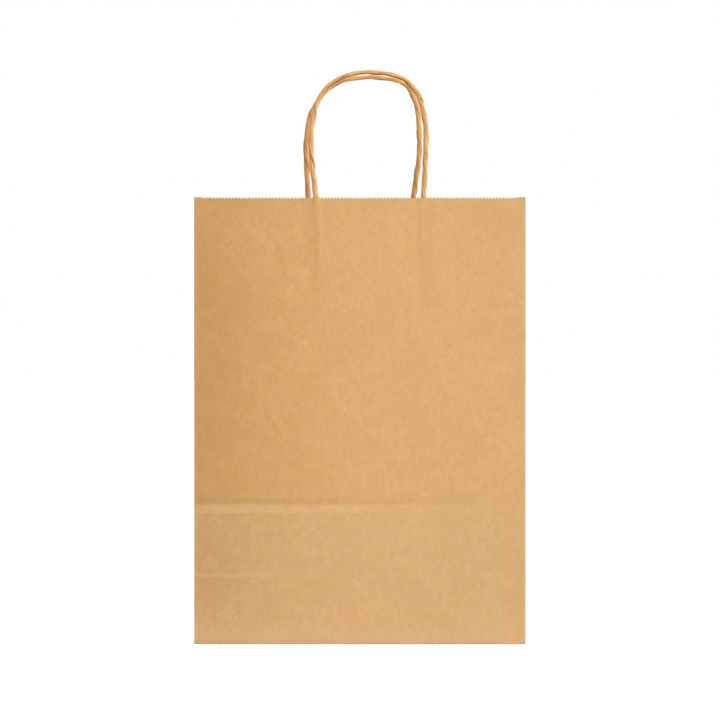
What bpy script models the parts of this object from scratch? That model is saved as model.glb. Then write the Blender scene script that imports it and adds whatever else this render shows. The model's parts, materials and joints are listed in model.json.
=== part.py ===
"""A brown kraft paper gift bag: a block-bottomed bag with side gussets and two twisted paper handles.

Run with: blender --background --python part.py
Metres, +Z up. X runs across the bag, the front faces -Y, and the origin is the middle of its footprint.
The bag stands open. Every sheet that turns when the bag is folded flat has an empty on its crease.
"""
import math

import bpy
from mathutils import Matrix, Vector

# ---- driving dimensions ----
WIDTH = 0.240              # across the front
DEPTH = 0.100              # front to back, twice a gusset half
HEIGHT = 0.323             # floor to the tips of the cut edge
PAPER = 0.0002             # wall thickness
GAP = 0.0003               # air between sheets that touch on the real bag
TOOTH_PITCH = 0.0024       # pinked cut along the top edge
TOOTH_DEPTH = 0.0007

CORD_RADIUS = 0.0019       # twisted handle cord
LEG_LENGTH = 0.045         # glued end of a handle, pressed flat between two strips
LEG_WIDTH = 0.0042
LEG_THICKNESS = 0.0018
STRIP_WIDTH = 0.130        # clears the folded gussets, so less than WIDTH - DEPTH
STRIP_HEIGHT = 0.045
STRIP_TOP = HEIGHT - 0.004
BUMP_HALF_TOP = 0.0024     # the cover strip's bump over a handle leg
BUMP_HALF_BASE = 0.0055
BOTTOM_LAP = 0.010         # how far each bottom flap runs past the middle
SIDE_FLAP = 0.060          # how far a side flap reaches in
STEP_START = 0.006         # the back flap climbs onto the front one between these distances
STEP_END = 0.001           # short of the front one's edge
FRONT_CREASE_LIFT = 0.0012 # the front's crease over the back's, to lie over the folded back

# Handle routes seen from the front: (x, height above the top edge), chosen by hand.
FRONT_ARCH = [
    (-0.0319, 0.0), (-0.0328, 0.0100), (-0.0340, 0.0190), (-0.0352, 0.0290), (-0.0356, 0.0430),
    (-0.0350, 0.0510), (-0.0339, 0.0580), (-0.0319, 0.0660), (-0.0296, 0.0710), (-0.0257, 0.0773),
    (-0.0216, 0.0816), (-0.0133, 0.0869), (-0.0050, 0.0896), (0.0040, 0.0909), (0.0161, 0.0901),
    (0.0245, 0.0883), (0.0327, 0.0848), (0.0408, 0.0767), (0.0440, 0.0700), (0.0461, 0.0610),
    (0.0477, 0.0530), (0.0479, 0.0420), (0.0473, 0.0310), (0.0468, 0.0180), (0.0458, 0.0),
]
BACK_ARCH = [
    (-0.0377, 0.0), (-0.0382, 0.0150), (-0.0389, 0.0270), (-0.0393, 0.0390), (-0.0384, 0.0490),
    (-0.0370, 0.0585), (-0.0360, 0.0626), (-0.0339, 0.0662), (-0.0304, 0.0717), (-0.0264, 0.0772),
    (-0.0195, 0.0830), (-0.0104, 0.0869), (-0.0013, 0.0884), (0.0076, 0.0893), (0.0166, 0.0885),
    (0.0257, 0.0871), (0.0305, 0.0852), (0.0353, 0.0812), (0.0396, 0.0726), (0.0421, 0.0631),
    (0.0430, 0.0521), (0.0436, 0.0410), (0.0430, 0.0289), (0.0413, 0.0178), (0.0388, 0.0),
]
SPAN_SAMPLES = 16          # places worked out between two of a route's points
CORD_POINTS = 42           # points along a free cord's spline
LEG_TIP_STEPS = 6          # straight edges round a leg's tip

# ---- worked out ----
SHEET_STEP = PAPER + GAP                   # from one sheet's middle to the next one's
FRONT_Y = -(DEPTH - PAPER) / 2             # middle of the front panel's thickness
BACK_Y = -FRONT_Y
SIDE_X = (WIDTH - PAPER) / 2               # middle of a gusset's thickness
BACK_FLAP_LIFT = SHEET_STEP                # the back flap's tongue lies on the front flap
SIDE_FLAP_Z = PAPER / 2 + 2 * SHEET_STEP   # middle of a side flap's thickness
# Crease heights that let the sheets lie on each other when the bag is flat.
TRIANGLE_PIVOT_Z = SIDE_FLAP_Z + SHEET_STEP
FOOT_PIVOT_Z = TRIANGLE_PIVOT_Z + 2 * SHEET_STEP
FRONT_PIVOT_Z = FOOT_PIVOT_Z + FRONT_CREASE_LIFT
MID_CREASE_Z = (BACK_Y - FRONT_Y + FOOT_PIVOT_Z + FRONT_PIVOT_Z) / 2  # brings both top edges level
MID_CREASE_Y = BACK_Y + SHEET_STEP / 2
GUSSET_PIVOT_Y = BACK_Y - SHEET_STEP       # a folded gusset lies just inside its panel
TRIANGLE_APEX_Z = TRIANGLE_PIVOT_Z + BACK_Y
BACKING_OFFSET = SHEET_STEP                # handle stack, inward from the panel's middle
LEG_OFFSET = BACKING_OFFSET + PAPER / 2 + GAP + LEG_THICKNESS / 2
COVER_LOW = BACKING_OFFSET + SHEET_STEP
COVER_HIGH = LEG_OFFSET + LEG_THICKNESS / 2 + GAP + PAPER / 2
ARCH_OFFSET = PAPER / 2 + GAP + CORD_RADIUS
ARCH_FOOT = 0.0005                         # the free cord starts this far above the panel's edge

AXES_FRONT = (Vector((1, 0, 0)), Vector((0, 0, 1)))   # a sheet seen from the front
AXES_SIDE = (Vector((0, 1, 0)), Vector((0, 0, 1)))    # a sheet seen from the right
AXES_FLOOR = (Vector((1, 0, 0)), Vector((0, 1, 0)))   # a sheet seen from above


def clear_scene():
    for item in list(bpy.data.objects):
        bpy.data.objects.remove(item, do_unlink=True)


def make_collection(name):
    collection = bpy.data.collections.new(name)
    bpy.context.scene.collection.children.link(collection)
    return collection


def make_material(name, colour, roughness):
    material = bpy.data.materials.new(name)
    material.use_nodes = True
    shader = material.node_tree.nodes["Principled BSDF"]
    shader.inputs["Base Color"].default_value = (*colour, 1.0)
    shader.inputs["Roughness"].default_value = roughness
    shader.inputs["Metallic"].default_value = 0.0
    return material


clear_scene()
BAG = make_collection("gift_bag")
KRAFT = make_material("kraft_paper", (0.68, 0.41, 0.18), 0.85)
STRIP_KRAFT = make_material("strip_kraft", (0.62, 0.37, 0.17), 0.85)
CORD_KRAFT = make_material("cord_kraft", (0.72, 0.40, 0.14), 0.75)


def pivot(name, place, parent=None):
    """An empty on a crease or hinge line; the sheets that turn about it are its children."""
    empty = bpy.data.objects.new(name, None)
    empty.empty_display_size = 0.01
    BAG.objects.link(empty)
    attach(empty, Matrix.Translation(place), parent)
    return empty


def attach(item, world, parent):
    item.matrix_world = world
    if parent is not None:
        bpy.context.view_layer.update()
        item.parent = parent
        item.matrix_parent_inverse = parent.matrix_world.inverted()
        item.matrix_basis = world
    bpy.context.view_layer.update()


def placed(origin, axes):
    """The matrix that lays a flat outline's x and y along two world axes, at an origin."""
    across, up = axes
    out = across.cross(up)
    turn = Matrix((across, up, out)).transposed().to_4x4()
    return Matrix.Translation(origin) @ turn


def flat_sheet(name, outline, origin, axes, material, parent=None, thickness=PAPER):
    """A flat outline in metres, centred on its thickness, at a place in the world."""
    curve = bpy.data.curves.new(name, "CURVE")
    curve.dimensions = "2D"
    curve.fill_mode = "BOTH"
    curve.extrude = thickness / 2
    spline = curve.splines.new("POLY")
    spline.points.add(len(outline) - 1)
    for point, (across, up) in zip(spline.points, outline):
        point.co = (across, up, 0.0, 1.0)
    spline.use_cyclic_u = True
    curve.materials.append(material)
    item = bpy.data.objects.new(name, curve)
    BAG.objects.link(item)
    attach(item, placed(origin, axes), parent)
    return item


def formed_sheet(name, profile, run, material, parent=None):
    """A sheet bent along straight lines: a profile of world points, carried along the vector run."""
    mesh = bpy.data.meshes.new(name)
    points = [Vector(point) for point in profile]
    far_points = [point + Vector(run) for point in points]
    faces = [
        (i, i + 1, len(points) + i + 1, len(points) + i)
        for i in range(len(points) - 1)
    ]
    mesh.from_pydata([*points, *far_points], [], faces)
    mesh.materials.append(material)
    item = bpy.data.objects.new(name, mesh)
    BAG.objects.link(item)
    thicken(item)
    attach(item, Matrix.Identity(4), parent)
    return item


def thicken(item):
    solid = item.modifiers.new("paper", "SOLIDIFY")
    solid.thickness = PAPER
    solid.offset = 0.0
    solid.use_even_offset = True


def pinked(start, end, top):
    """The saw-tooth points of a cut edge from start to end, with its tips at top."""
    count = max(1, round(abs(end - start) / TOOTH_PITCH))
    step = (end - start) / count
    points = []
    for i in range(count):
        points.append((start + i * step, top - TOOTH_DEPTH))
        points.append((start + (i + 0.5) * step, top))
    points.append((end, top - TOOTH_DEPTH))
    return points


def smooth_route(points, samples):
    """Evenly spaced points on the Catmull-Rom curve through the hand-chosen ones."""
    dense = []
    for i in range(len(points) - 1):
        before = Vector(points[max(i - 1, 0)])
        here = Vector(points[i])
        there = Vector(points[i + 1])
        after = Vector(points[min(i + 2, len(points) - 1)])
        for k in range(SPAN_SAMPLES):
            t = k / SPAN_SAMPLES
            dense.append(
                0.5 * (2 * here + (there - before) * t
                       + (2 * before - 5 * here + 4 * there - after) * t * t
                       + (3 * here - before - 3 * there + after) * t ** 3)
            )
    dense.append(Vector(points[-1]))
    lengths = [0.0]
    for a, b in zip(dense, dense[1:]):
        lengths.append(lengths[-1] + (b - a).length)
    route = []
    k = 0
    for i in range(samples):
        want = lengths[-1] * i / (samples - 1)
        while k < len(dense) - 2 and lengths[k + 1] < want:
            k += 1
        share = (want - lengths[k]) / (lengths[k + 1] - lengths[k])
        route.append(dense[k].lerp(dense[k + 1], share))
    return route


# ---- the bottom: four flaps folded in and glued ----
def make_bottom():
    half_w, half_d = WIDTH / 2, DEPTH / 2
    front_reach = half_d + BOTTOM_LAP
    front = [
        (-half_w, -half_d), (half_w, -half_d),
        (half_w - front_reach, BOTTOM_LAP), (-half_w + front_reach, BOTTOM_LAP),
    ]
    flat_sheet("bottom_front_flap", front, (0, 0, PAPER / 2), AXES_FLOOR, KRAFT)

    # The back flap steps up over the front one, where the two are glued.
    stations = [
        (half_d, 0.0), (BOTTOM_LAP + STEP_START, 0.0),
        (BOTTOM_LAP + STEP_END, BACK_FLAP_LIFT), (-BOTTOM_LAP, BACK_FLAP_LIFT),
    ]
    mesh = bpy.data.meshes.new("bottom_back_flap")
    vertices = []
    for y, lift in stations:
        reach = half_w - (half_d - y)
        vertices.append((-reach, y, PAPER / 2 + lift))
        vertices.append((reach, y, PAPER / 2 + lift))
    faces = [(2 * i, 2 * i + 1, 2 * i + 3, 2 * i + 2) for i in range(len(stations) - 1)]
    mesh.from_pydata(vertices, [], faces)
    mesh.materials.append(KRAFT)
    back = bpy.data.objects.new("bottom_back_flap", mesh)
    BAG.objects.link(back)
    thicken(back)

    inner = GUSSET_PIVOT_Y
    for name, side in (("bottom_left_flap", -1), ("bottom_right_flap", 1)):
        outline = [
            (side * half_w, -inner), (side * half_w, inner),
            (side * (half_w - SIDE_FLAP), inner), (side * (half_w - SIDE_FLAP), -inner),
        ]
        flat_sheet(name, outline, (0, 0, SIDE_FLAP_Z), AXES_FLOOR, KRAFT)


def panel_outline(low, high):
    half_w = WIDTH / 2
    return [(-half_w, low), (half_w, low), *pinked(half_w, -half_w, high)]


def make_front():
    crease = pivot("front_crease", (0, FRONT_Y, FRONT_PIVOT_Z))
    outline = panel_outline(PAPER + GAP, HEIGHT)
    flat_sheet("front_panel", outline, (0, FRONT_Y, 0), AXES_FRONT, KRAFT, crease)
    return crease


def make_back():
    foot_crease = pivot("back_foot_crease", (0, BACK_Y, FOOT_PIVOT_Z))
    half_w = WIDTH / 2
    low, high = PAPER + GAP, MID_CREASE_Z - GAP / 2
    foot = [(-half_w, low), (half_w, low), (half_w, high), (-half_w, high)]
    flat_sheet("back_panel_foot", foot, (0, BACK_Y, 0), AXES_FRONT, KRAFT, foot_crease)
    crease = pivot("back_crease", (0, MID_CREASE_Y, MID_CREASE_Z), foot_crease)
    outline = panel_outline(MID_CREASE_Z + GAP / 2, HEIGHT)
    flat_sheet("back_panel", outline, (0, BACK_Y, 0), AXES_FRONT, KRAFT, crease)
    return foot_crease, crease


# ---- one side: five facets round the gusset's creases, each on its own crease ----
def make_side(side_name, side, front_crease, foot_crease, back_crease):
    x = side * SIDE_X
    slant = GAP * math.sqrt(2)
    half_gap = GAP / 2
    edge = GUSSET_PIVOT_Y
    apex = TRIANGLE_APEX_Z
    sheet = {"axes": AXES_SIDE, "material": KRAFT, "origin": (x, 0, 0)}

    base = pivot(f"{side_name}_base_crease", (x, 0, TRIANGLE_PIVOT_Z))
    low = SIDE_FLAP_Z + SHEET_STEP - PAPER / 2
    outline = [(-edge, low), (edge, low), (edge, apex - edge), (0, apex), (-edge, apex - edge)]
    flat_sheet(f"{side_name}_base_triangle", outline, parent=base, **sheet)

    front = pivot(f"{side_name}_front_crease", (x, -GUSSET_PIVOT_Y, HEIGHT / 2), front_crease)
    outline = [
        (-edge, apex - edge + slant), (-half_gap, apex - half_gap + slant),
        *pinked(-half_gap, -edge, HEIGHT),
    ]
    flat_sheet(f"{side_name}_gusset_front", outline, parent=front, **sheet)

    back = pivot(f"{side_name}_back_crease", (x, GUSSET_PIVOT_Y, HEIGHT / 2), back_crease)
    outline = [
        (half_gap, MID_CREASE_Z + half_gap), (edge, MID_CREASE_Z + half_gap),
        *pinked(edge, half_gap, HEIGHT),
    ]
    flat_sheet(f"{side_name}_gusset_back", outline, parent=back, **sheet)

    foot = pivot(f"{side_name}_foot_crease", (x, GUSSET_PIVOT_Y, MID_CREASE_Z / 2), foot_crease)
    outline = [
        (edge, apex - edge + slant), (edge, MID_CREASE_Z - half_gap),
        (half_gap, MID_CREASE_Z - half_gap), (half_gap, apex - half_gap + slant),
    ]
    flat_sheet(f"{side_name}_back_triangle", outline, parent=foot, **sheet)


# ---- one handle: strips and pressed legs on the panel, and the free arch on its hinge ----
def make_handle(end_name, end, arch, panel_crease):
    """end is -1 on the front panel and 1 on the back; offsets are measured inward from the panel."""
    panel_y = end * BACK_Y
    half = STRIP_WIDTH / 2
    low = STRIP_TOP - STRIP_HEIGHT
    backing = [(-half, low), (half, low), (half, STRIP_TOP), (-half, STRIP_TOP)]
    flat_sheet(f"{end_name}_handle_backing", backing, (0, panel_y - end * BACKING_OFFSET, 0),
               AXES_FRONT, STRIP_KRAFT, panel_crease)

    leg_xs = (arch[0][0], arch[-1][0])
    for leg_name, x in zip(("left", "right"), leg_xs):
        flat_sheet(f"{end_name}_handle_leg_{leg_name}", leg_outline(),
                   (x, panel_y - end * LEG_OFFSET, HEIGHT - GAP - TOOTH_DEPTH),
                   AXES_FRONT, CORD_KRAFT, panel_crease, LEG_THICKNESS)

    steps = [(-half, COVER_LOW)]
    for x in leg_xs:
        steps += [
            (x - BUMP_HALF_BASE, COVER_LOW), (x - BUMP_HALF_TOP, COVER_HIGH),
            (x + BUMP_HALF_TOP, COVER_HIGH), (x + BUMP_HALF_BASE, COVER_LOW),
        ]
    steps.append((half, COVER_LOW))
    profile = [(x, panel_y - end * offset, low) for x, offset in steps]
    formed_sheet(f"{end_name}_handle_cover", profile, (0, 0, STRIP_HEIGHT),
                 STRIP_KRAFT, panel_crease)

    hinge = pivot(f"{end_name}_handle_hinge", (0, panel_y, HEIGHT), panel_crease)
    curve = bpy.data.curves.new(f"{end_name}_handle", "CURVE")
    curve.dimensions = "3D"
    curve.bevel_depth = CORD_RADIUS
    curve.bevel_resolution = 3
    curve.use_fill_caps = True
    curve.materials.append(CORD_KRAFT)
    lifted = [(x, max(rise, ARCH_FOOT)) for x, rise in arch]
    route = smooth_route(lifted, CORD_POINTS)
    spline = curve.splines.new("POLY")
    spline.points.add(len(route) - 1)
    for point, (x, rise) in zip(spline.points, route):
        point.co = (x, 0.0, rise, 1.0)
    item = bpy.data.objects.new(f"{end_name}_handle", curve)
    BAG.objects.link(item)
    attach(item, Matrix.Translation((0, panel_y - end * ARCH_OFFSET, HEIGHT)), hinge)


def leg_outline():
    """A leg hanging down from its top end, with a rounded tip."""
    radius = LEG_WIDTH / 2
    points = [(-radius, 0.0)]
    for k in range(LEG_TIP_STEPS + 1):
        angle = math.pi + math.pi * k / LEG_TIP_STEPS
        points.append((radius * math.cos(angle), -LEG_LENGTH + radius + radius * math.sin(angle)))
    points.append((radius, 0.0))
    return points


make_bottom()
FRONT_CREASE = make_front()
FOOT_CREASE, BACK_CREASE = make_back()
for SIDE_NAME, SIDE in (("left", -1), ("right", 1)):
    make_side(SIDE_NAME, SIDE, FRONT_CREASE, FOOT_CREASE, BACK_CREASE)
make_handle("front", -1, FRONT_ARCH, FRONT_CREASE)
make_handle("back", 1, BACK_ARCH, BACK_CREASE)
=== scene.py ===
# The looks of a brown kraft paper gift bag: creased sheets, glued strips and twisted paper handles.
# Metres, +Z up, front facing -Y. Every sheet is a grid in its own flat (u, v) coordinates, which are also its
# UV map, so that the paper's grain stays with it when the bag folds.
import json
import math

import bmesh
import bpy
import numpy as np
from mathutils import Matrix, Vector


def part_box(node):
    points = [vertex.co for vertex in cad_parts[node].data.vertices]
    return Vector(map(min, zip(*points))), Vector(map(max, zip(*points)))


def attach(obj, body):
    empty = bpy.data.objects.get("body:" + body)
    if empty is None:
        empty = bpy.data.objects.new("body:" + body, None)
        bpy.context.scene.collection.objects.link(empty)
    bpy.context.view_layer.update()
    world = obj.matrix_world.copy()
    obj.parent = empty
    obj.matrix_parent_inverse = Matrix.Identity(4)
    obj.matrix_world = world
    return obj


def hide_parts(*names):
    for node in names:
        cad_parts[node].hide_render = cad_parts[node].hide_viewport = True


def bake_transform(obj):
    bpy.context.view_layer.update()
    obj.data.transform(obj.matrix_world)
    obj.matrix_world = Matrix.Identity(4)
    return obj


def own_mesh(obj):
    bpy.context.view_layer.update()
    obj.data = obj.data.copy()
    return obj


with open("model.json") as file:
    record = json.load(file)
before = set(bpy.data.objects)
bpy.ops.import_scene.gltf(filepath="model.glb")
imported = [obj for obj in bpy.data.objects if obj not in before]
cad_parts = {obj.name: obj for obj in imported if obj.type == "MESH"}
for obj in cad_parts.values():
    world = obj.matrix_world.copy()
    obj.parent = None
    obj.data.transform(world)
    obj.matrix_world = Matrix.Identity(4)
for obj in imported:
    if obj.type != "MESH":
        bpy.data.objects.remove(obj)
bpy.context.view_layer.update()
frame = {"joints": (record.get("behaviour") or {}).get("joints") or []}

# ---- sizes from the frame ----
PANEL_LOW, PANEL_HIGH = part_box("front_panel")
HALF_WIDTH = PANEL_HIGH.x
HALF_DEPTH = -PANEL_LOW.y
HEIGHT = PANEL_HIGH.z
PIVOTS = {j["name"]: Vector(j["pos_m"]) for j in frame["joints"]}
FRONT_Y = PIVOTS["flat_fold"].y            # middle of the front panel's thickness
BACK_Y = -FRONT_Y
SIDE_X = PIVOTS["right_base_fold"].x       # middle of a gusset's thickness
MID_CREASE_Z = PIVOTS["back_fold"].z
APEX_Z = PIVOTS["right_base_fold"].z + BACK_Y
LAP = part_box("bottom_front_flap")[1].y     # how far each bottom flap runs past the middle

# ---- paper ----
PAPER = 0.00018
EDGE_RADIUS = 0.0005                       # the folded edges' outer radius
FLAT_LOW = EDGE_RADIUS + PAPER / 2         # where a panel's flat part begins, above its folded foot
TOOTH_PITCH = 0.0024
TOOTH_DEPTH = 0.0013                       # a full tooth's depth; each is a little under or over it
TOOTH_ROOT = HEIGHT - 0.0004
TOOTH_SHOULDER = (0.20, 0.30)              # how far aside of the tip it is, and how high, as shares
ROW_STEP = 0.0024
FINE_STEP = 0.0006
PRESS_LINE_HIGH = 0.1010                   # where the folded bottom pressed into the front
PRESS_LINE_LOW = 0.0497

# ---- handles ----
CORD_RADIUS = 0.0019
TWIST_PITCH = 0.031
RING_STEP = 0.0009
RING_SIDES = 48
LEG_HALF_THICKNESS = 0.0009
LEG_HALF_WIDTH = 0.0022
LEG_STEPS = 6                              # points along a glued end
CROWN_THINNING = 0.17                      # how much thinner the cord is over the top of its arch
# Routes seen from the front: (x, height above the top edge).
FRONT_ARCH = [
    (-0.0319, 0.0), (-0.0328, 0.0100), (-0.0340, 0.0190), (-0.0352, 0.0290), (-0.0356, 0.0430),
    (-0.0350, 0.0510), (-0.0339, 0.0580), (-0.0319, 0.0660), (-0.0296, 0.0710), (-0.0257, 0.0773),
    (-0.0216, 0.0816), (-0.0133, 0.0869), (-0.0050, 0.0896), (0.0040, 0.0909), (0.0161, 0.0901),
    (0.0245, 0.0883), (0.0327, 0.0848), (0.0408, 0.0767), (0.0440, 0.0700), (0.0461, 0.0610),
    (0.0477, 0.0530), (0.0479, 0.0420), (0.0473, 0.0310), (0.0468, 0.0180), (0.0458, 0.0),
]
BACK_ARCH = [
    (-0.0377, 0.0), (-0.0382, 0.0150), (-0.0389, 0.0270), (-0.0393, 0.0390), (-0.0384, 0.0490),
    (-0.0370, 0.0585), (-0.0360, 0.0626), (-0.0339, 0.0662), (-0.0304, 0.0717), (-0.0264, 0.0772),
    (-0.0195, 0.0830), (-0.0104, 0.0869), (-0.0013, 0.0884), (0.0076, 0.0893), (0.0166, 0.0885),
    (0.0257, 0.0871), (0.0305, 0.0852), (0.0353, 0.0812), (0.0396, 0.0726), (0.0421, 0.0631),
    (0.0430, 0.0521), (0.0436, 0.0410), (0.0430, 0.0289), (0.0413, 0.0178), (0.0388, 0.0),
]

# ---- colours ----
KRAFT_COLOUR = (0.735, 0.418, 0.169)
STRIP_TONE = 0.95                          # the strips are a little darker than the bag
STRIP_MOTTLE = 1.2                         # and more uneven
CORD_COLOUR = (0.815, 0.486, 0.184)
DEEPEST_PAINTED_SHADE = 0.70                             # the share of its brightness that paper under the deepest painted shade keeps
PLAIN_BROWN = 1 / 3                        # the brown layer where the paper is neither browner nor greyer
SHADE_AND_SEAM_LEVEL = 0.4                          # how strongly the painted shade and seam line below show in their layer
TOP_WEAR = 0.12                            # how pale the cut top edge is rubbed


# ========================================= materials
class Nodes:
    """Short ways to add and join shader nodes."""

    def __init__(self, material):
        self.tree = material.node_tree
        self.shader = self.tree.nodes["Principled BSDF"]

    def add(self, kind, **settings):
        node = self.tree.nodes.new(kind)
        for key, value in settings.items():
            setattr(node, key, value)
        return node

    def feed(self, socket, value):
        if isinstance(value, bpy.types.NodeSocket):
            self.tree.links.new(value, socket)
        else:
            socket.default_value = value

    def stretched(self, vector, scale, offset=(0.0, 0.0, 0.0)):
        node = self.add("ShaderNodeMapping")
        self.feed(node.inputs["Vector"], vector)
        node.inputs["Scale"].default_value = scale
        node.inputs["Location"].default_value = offset
        return node.outputs["Vector"]

    def noise(self, vector, scale, detail=2.0, rough=0.5, distort=0.0):
        node = self.add("ShaderNodeTexNoise", noise_dimensions="3D")
        self.feed(node.inputs["Vector"], vector)
        node.inputs["Scale"].default_value = scale
        node.inputs["Detail"].default_value = detail
        node.inputs["Roughness"].default_value = rough
        node.inputs["Distortion"].default_value = distort
        return node.outputs["Fac"]

    def math(self, operation, a, b=0.0, clamp=False):
        node = self.add("ShaderNodeMath", operation=operation, use_clamp=clamp)
        self.feed(node.inputs[0], a)
        self.feed(node.inputs[1], b)
        return node.outputs[0]

    def band(self, value, low, high, out_low=0.0, out_high=1.0):
        """value from low..high carried smoothly onto out_low..out_high."""
        node = self.add("ShaderNodeMapRange", interpolation_type="SMOOTHSTEP")
        self.feed(node.inputs["Value"], value)
        node.inputs["From Min"].default_value = low
        node.inputs["From Max"].default_value = high
        node.inputs["To Min"].default_value = out_low
        node.inputs["To Max"].default_value = out_high
        return node.outputs["Result"]

    def mix(self, share, a, b, blend="MIX"):
        node = self.add("ShaderNodeMix", data_type="RGBA", blend_type=blend)
        self.feed(node.inputs["Factor"], share)
        self.feed(node.inputs["A"], a)
        self.feed(node.inputs["B"], b)
        return node.outputs["Result"]

    def attribute(self, name):
        return self.add("ShaderNodeAttribute", attribute_name=name).outputs["Fac"]

    def bump(self, height, strength, distance):
        node = self.add("ShaderNodeBump")
        node.inputs["Strength"].default_value = strength
        node.inputs["Distance"].default_value = distance
        self.feed(node.inputs["Height"], height)
        return node.outputs["Normal"]


def new_material(name, roughness):
    material = bpy.data.materials.new(name)
    material.use_nodes = True
    nodes = Nodes(material)
    nodes.shader.inputs["Roughness"].default_value = roughness
    nodes.shader.inputs["Specular IOR Level"].default_value = 0.25
    nodes.shader.inputs["Sheen Weight"].default_value = 0.05
    nodes.shader.inputs["Sheen Roughness"].default_value = 0.6
    return material, nodes


def tone(colour, factor):
    """The colour lighter or darker the way kraft paper is: browner when dark, paler when light."""
    red, green, blue = colour
    return (red * factor, green * factor ** 1.45, blue * factor ** 2.3, 1.0)


def kraft_material(name, colour, mottle=1.0):
    """Unbleached kraft: cloudy pulp, long vertical grain, loose fibres, specks, worn creases, painted
    highlight and painted shade.
    """
    material, n = new_material(name, 0.82)
    flat = n.add("ShaderNodeUVMap", uv_map="sheet").outputs["UV"]

    clouds = n.noise(flat, 38.0, 2.0, 0.5)
    flocks = n.noise(n.stretched(flat, (1.25, 0.85, 1.0), (0.4, 0.2, 0.0)), 150.0, 2.0, 0.55)
    pulp = n.noise(flat, 400.0, 4.0, 0.60)
    grain = n.noise(n.stretched(flat, (1900.0, 150.0, 1.0)), 1.0, 3.0, 0.6)

    base = n.mix(n.band(clouds, 0.30, 0.70), tone(colour, 0.970), tone(colour, 1.048))
    base = n.mix(n.math("MULTIPLY", n.band(flocks, 0.32, 0.70), 0.78 * mottle), base, tone(colour, 0.92))
    base = n.mix(n.math("MULTIPLY", n.band(pulp, 0.34, 0.68), 0.65 * mottle), base, tone(colour, 0.93))
    base = n.mix(n.math("MULTIPLY", n.band(grain, 0.34, 0.68), 0.34 * mottle), base, tone(colour, 1.09))
    hue = n.noise(n.stretched(flat, (1.0, 0.9, 1.0), (0.9, 0.6, 0.0)), 120.0, 2.0, 0.6)
    base = n.mix(1.0, base, n.mix(n.band(hue, 0.30, 0.70), (1.0, 0.985, 1.06, 1.0), (1.0, 1.012, 0.94, 1.0)),
                 "MULTIPLY")

    # Dark specks of bark, and loose fibres lying three ways, some dark and some pale.
    specks = n.noise(flat, 900.0, 1.0, 0.4)
    speck_field = n.noise(n.stretched(flat, (1.0, 1.0, 1.0), (0.3, 0.7, 0.0)), 210.0, 1.0, 0.5)
    speck_share = n.math("MULTIPLY", n.band(specks, 0.665, 0.72), n.band(speck_field, 0.44, 0.60))
    base = n.mix(n.math("MULTIPLY", speck_share, 0.55), base, tone(colour, 0.66))
    fibres = []
    for angle, offset, strand_tone, share in ((0.35, 0.11, 0.78, 0.60), (-0.5, 0.53, 1.16, 0.50),
                                              (1.2, 0.87, 0.80, 0.50)):
        turned = n.add("ShaderNodeMapping")
        n.feed(turned.inputs["Vector"], flat)
        turned.inputs["Rotation"].default_value = (0.0, 0.0, angle)
        turned.inputs["Location"].default_value = (offset, offset, 0.0)
        turned.inputs["Scale"].default_value = (2000.0, 300.0, 1.0)
        strand = n.noise(turned.outputs["Vector"], 1.0, 1.0, 0.4, 0.8)
        strand_share = n.band(strand, 0.67, 0.73)
        base = n.mix(n.math("MULTIPLY", strand_share, share), base, tone(colour, strand_tone))
        fibres.append(strand_share)

    # Some of the sheet is browner, some greyer, and some darkened by painted shade. Creases and cut edges are
    # rubbed pale, partly painted highlight on the front, with painted shade beside them and a dark line along
    # the glued seam.
    cast = n.mix(n.attribute("brown"), (0.985, 1.05, 1.15, 1.0), (0.955, 0.925, 0.80, 1.0))
    base = n.mix(1.0, base, cast, "MULTIPLY")
    # Painted shade: the front is darkened evenly in all colours where the painted layer says.
    base = n.mix(n.attribute("painted_dimming"), base, (DEEPEST_PAINTED_SHADE, DEEPEST_PAINTED_SHADE, DEEPEST_PAINTED_SHADE, 1.0), "MULTIPLY")
    # Rubbed paleness at folds and cut edges; on the front's press lines and foot it is partly painted
    # highlight.
    wear_and_highlight = n.attribute("wear_and_highlight")
    patchy = n.math("MULTIPLY", wear_and_highlight, n.band(n.noise(flat, 900.0, 3.0, 0.7), 0.30, 0.66, 0.45, 1.0))
    red, green, blue = colour
    pale_wear_and_highlight = (red * 1.09, green * 1.34, blue * 1.95, 1.0)
    base = n.mix(n.math("MULTIPLY", patchy, 0.45, True), base, pale_wear_and_highlight)
    # Painted shade, and the dark line along the glued seam: darker and browner where the painted layer says.
    base = n.mix(n.math("MULTIPLY", n.attribute("painted_shade_and_seam"), 0.5, True), base, tone(colour, 0.60))
    n.feed(n.shader.inputs["Base Color"], base)
    n.feed(n.shader.inputs["Roughness"], n.band(pulp, 0.3, 0.7, 0.76, 0.90))

    height = n.math("ADD", n.math("MULTIPLY", pulp, 0.9), n.math("MULTIPLY", grain, 0.7))
    for strand_share in fibres:
        height = n.math("ADD", height, n.math("MULTIPLY", strand_share, 0.18))
    height = n.math("ADD", height, n.math("MULTIPLY", flocks, 1.4))
    n.feed(n.shader.inputs["Normal"], n.bump(height, 0.20, 0.00011))
    return material


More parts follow.
